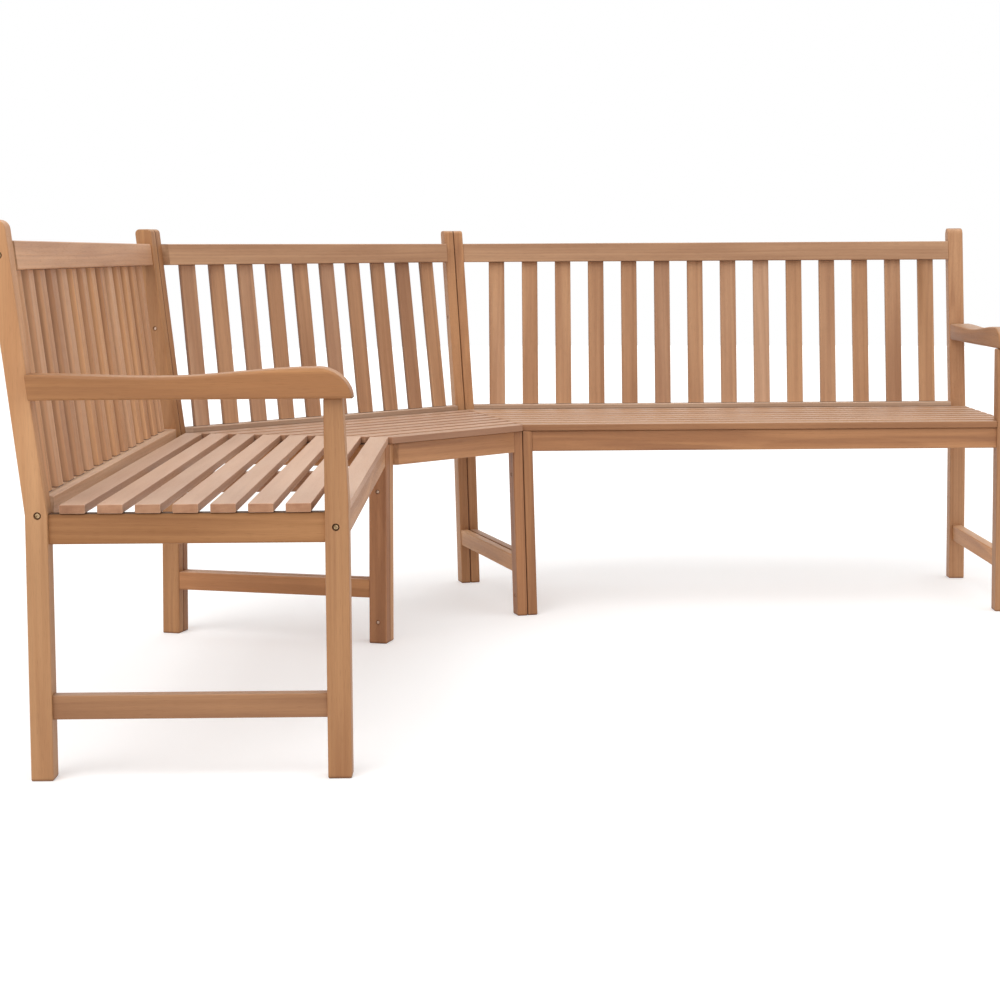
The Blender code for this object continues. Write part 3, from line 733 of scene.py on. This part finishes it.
def boltMaterial(name, kind):
    material, tree, shader = startMaterial(name + "_bolt_heads")
    where = put(tree, "ShaderNodeTexCoord").outputs["Object"]
    dull = patches(tree, where, boltLook["patches"])
    colour = blended(tree, dull, (*kind["bright"], 1), (*kind["dull"], 1))
    tree.links.new(colour, shader.inputs["Base Color"])
    tree.links.new(reckon(tree, "MULTIPLY_ADD", dull, *boltLook["roughness"]), shader.inputs["Roughness"])
    shader.inputs["Metallic"].default_value = 1.0
    scratches = clouds(tree, where, **boltLook["scratches"]).outputs["Fac"]
    bump = put(tree, "ShaderNodeBump", {
        "Strength": boltLook["bump"], "Distance": boltLook["bumpDepth"], "Height": scratches})
    tree.links.new(bump.outputs["Normal"], shader.inputs["Normal"])
    return material


def edgesAmong(parts, ends):
    # The edges among these parts that have both their ends among the given vertices
    return [part for part in parts if isinstance(part, bmesh.types.BMEdge)
            and part.verts[0] in ends and part.verts[1] in ends]


def addBoltHead(bm, kind):
    # A round head about z with its face at zero: rim, six-sided socket and shank, returned as vertices
    before = set(bm.verts)
    socket = bmesh.ops.create_circle(bm, segments=6, radius=kind["socket"])["verts"]
    rim = bmesh.ops.create_circle(bm, segments=kind["segments"], radius=kind["radius"])["verts"]
    rimEdges = edgesAmong(bm.edges, rim)
    socketEdges = edgesAmong(bm.edges, socket)
    bmesh.ops.bridge_loops(bm, edges=rimEdges + socketEdges)
    for edges, depth in ((socketEdges, kind["socketDepth"]), (rimEdges, kind["length"])):
        grown = bmesh.ops.extrude_edge_only(bm, edges=edges)["geom"]
        low = [part for part in grown if isinstance(part, bmesh.types.BMVert)]
        bmesh.ops.translate(bm, verts=low, vec=(0, 0, -depth))
        bmesh.ops.contextual_create(bm, geom=edgesAmong(grown, low))
    bmesh.ops.bevel(bm, geom=edgesAmong(bm.edges, rim), offset=kind["rim"], offset_type="OFFSET",
                    segments=boltLook["rimSegments"], profile=0.5, affect="EDGES", material=-1)
    made = [vert for vert in bm.verts if vert not in before]
    bmesh.ops.recalc_face_normals(bm, faces=[face for face in bm.faces if face.verts[0] in made])
    return made


def addBolts():
    finishes = {name: boltMaterial(name, kind) for name, kind in bolts.items()}
    for sectionName, section in sections.items():
        for end, endName in enumerate(section["ends"]):
            kindName = frameKind(section, end)
            kind = bolts[kindName]
            frameAlong = axesOf(endHeading(section, end))[0]
            # Heads show on the inner side of a joint's frames, and on the outer side of an end frame
            facing = frameAlong * inward(end) * (1 if kindName == "joint" else -1)
            turn = Matrix((upward.cross(facing), upward, facing)).transposed().to_4x4()
            bm = bmesh.new()
            for piece in kind["holes"]:
                for place in holePlaces(section, end, piece):
                    head = addBoltHead(bm, kind)
                    place = place - facing * kind["sunk"]
                    bmesh.ops.transform(bm, matrix=Matrix.Translation(place) @ turn, verts=head)
            name = f"{sectionName}_{endName}_bolts"
            mesh = meshFrom(name, bm)
            mesh.shade_smooth()
            mesh.set_sharp_from_angle(angle=radians(boltLook["sharpAngle"]))
            mesh.materials.append(finishes[kindName])
            piece = addObject(name, mesh)
            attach(piece, "root")


studio = {
    "ambient": 0.50,
    "floorColour": (0.82, 0.82, 0.82),
    "floorRoughness": 0.9,
    "floorSpecular": 0.1,
    "floorRadius": 14.0,
    "floorSegments": 96,
    "floorGlow": 0.30,
}


def seenMask(tree):
    # One for rays that show a surface, and zero for those that only carry its light to others
    path = put(tree, "ShaderNodeLightPath").outputs
    seen = reckon(tree, "MAXIMUM", path["Is Camera Ray"], path["Is Glossy Ray"])
    return reckon(tree, "MAXIMUM", seen, path["Is Transmission Ray"])


def makeFloor():
    bm = bmesh.new()
    bmesh.ops.create_circle(bm, cap_ends=True, segments=studio["floorSegments"], radius=studio["floorRadius"])
    floor = addObject("floor", meshFrom("floor", bm))
    material, tree, shader = startMaterial("pale_floor")
    shader.inputs["Base Color"].default_value = (*studio["floorColour"], 1)
    shader.inputs["Roughness"].default_value = studio["floorRoughness"]
    shader.inputs["Specular IOR Level"].default_value = studio["floorSpecular"]
    shader.inputs["Emission Color"].default_value = (1, 1, 1, 1)
    glow = reckon(tree, "MULTIPLY", seenMask(tree), studio["floorGlow"])
    tree.links.new(glow, shader.inputs["Emission Strength"])
    floor.data.materials.append(material)


def makeWorld():
    world = bpy.data.worlds.new("studio")
    world.use_nodes = True
    tree = world.node_tree
    tree.nodes.clear()
    strength = put(tree, "ShaderNodeMapRange", {
        "Value": seenMask(tree), "To Min": studio["ambient"], "To Max": 1.0})
    light = put(tree, "ShaderNodeBackground", {"Color": (1, 1, 1, 1), "Strength": strength.outputs[0]})
    finish = put(tree, "ShaderNodeOutputWorld")
    tree.links.new(light.outputs[0], finish.inputs["Surface"])
    bpy.context.scene.world = world


makeCamera()
makeLamps()
makeWorld()
makeFloor()
print("camera and studio ready")
finishBoards()
for number, sectionName in enumerate(sections):
    panelMaterial(sectionName, number)
print("teak finished")
addBolts()
print("bolts in place")

bpy.context.scene.view_settings.view_transform = "Standard"
